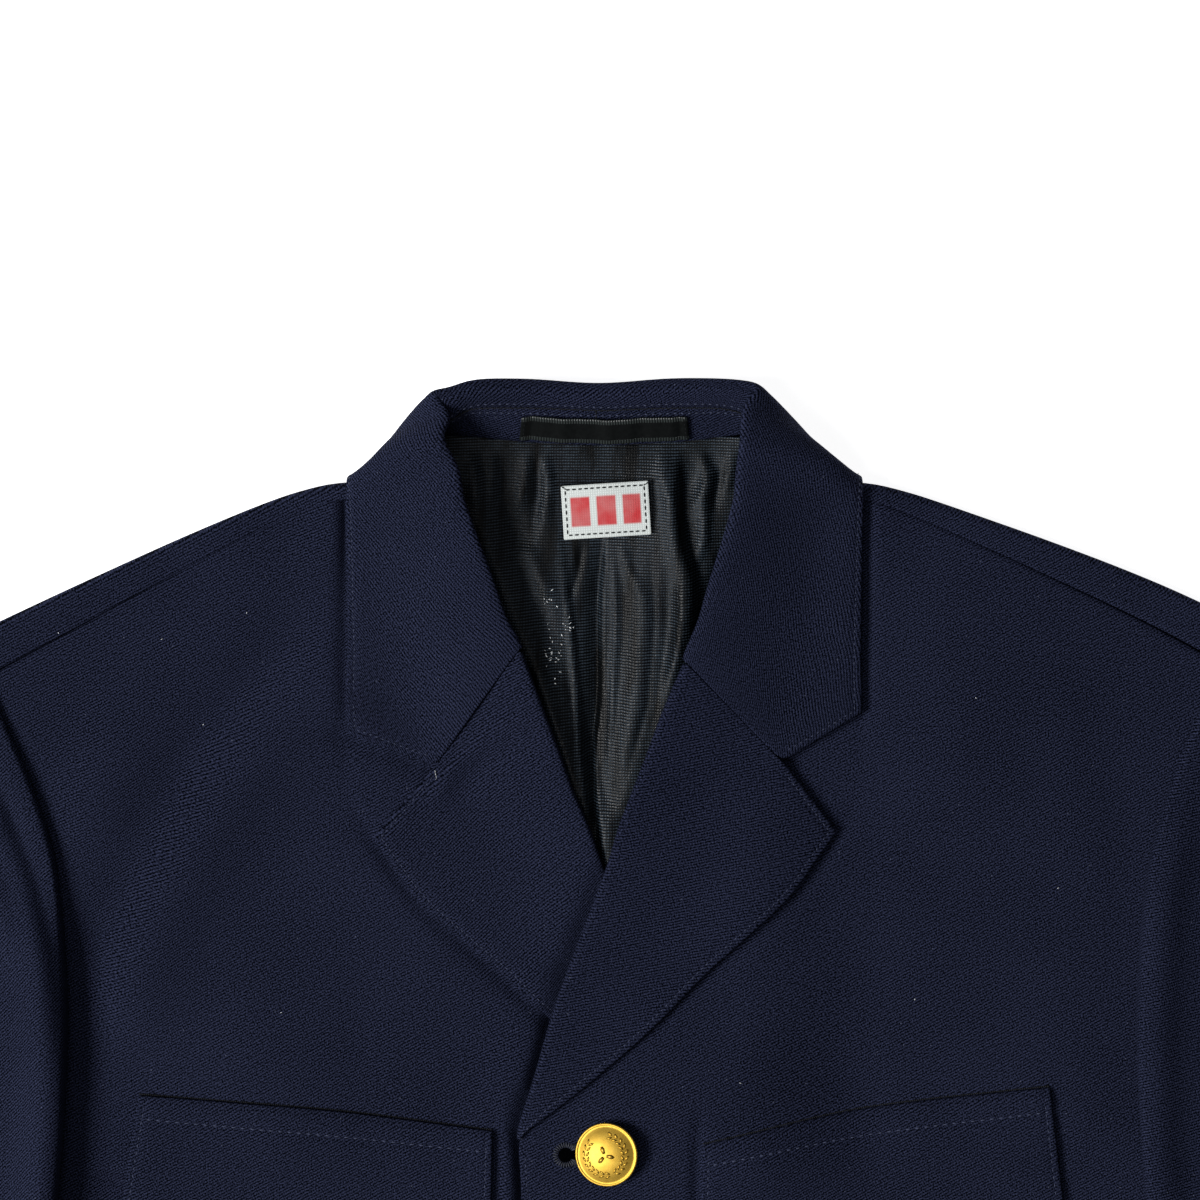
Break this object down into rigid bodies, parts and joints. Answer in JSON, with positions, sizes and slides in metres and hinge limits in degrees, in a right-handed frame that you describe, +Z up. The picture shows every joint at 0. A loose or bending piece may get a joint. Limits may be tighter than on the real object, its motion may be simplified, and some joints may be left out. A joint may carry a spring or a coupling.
{
  "type": "military dress tunic",
  "caption": "Navy wool military dress tunic laid flat on its back: notched lapels, four brass buttons, chest pocket flaps, black lining in the neck.",
  "frame": {"origin": "centre of the garment's box, on the surface it lies on", "axes": "+X to the wearer's left, +Y from hem to collar, +Z up from the surface"},
  "size_m": [0.787, 0.7482, 0.0303],
  "materials": {
    "navy_cloth": "matt wool blend twill",
    "lining_satin": "ribbed satin with a soft sheen",
    "ribbon": "satin ribbon with ribbed edges",
    "woven_label": "woven tape",
    "gilt_brass": "satin gilt"
  },
  "bodies": {
    "root": {"back": "navy_cloth", "front_left": "navy_cloth", "front_right": "navy_cloth", "lapel_left": "navy_cloth", "lapel_right": "navy_cloth", "collar_leaf": "navy_cloth", "collar_stand": "navy_cloth", "lining": "lining_satin", "hanger_loop": "ribbon", "size_label": "woven_label", "sleeve_top_left": "navy_cloth", "sleeve_top_right": "navy_cloth", "sleeve_under_left": "navy_cloth", "sleeve_under_right": "navy_cloth", "flap_left": "navy_cloth", "flap_right": "navy_cloth", "button_1": "gilt_brass", "button_2": "gilt_brass", "button_3": "gilt_brass", "button_4": "gilt_brass"}
  },
  "joints": []
}
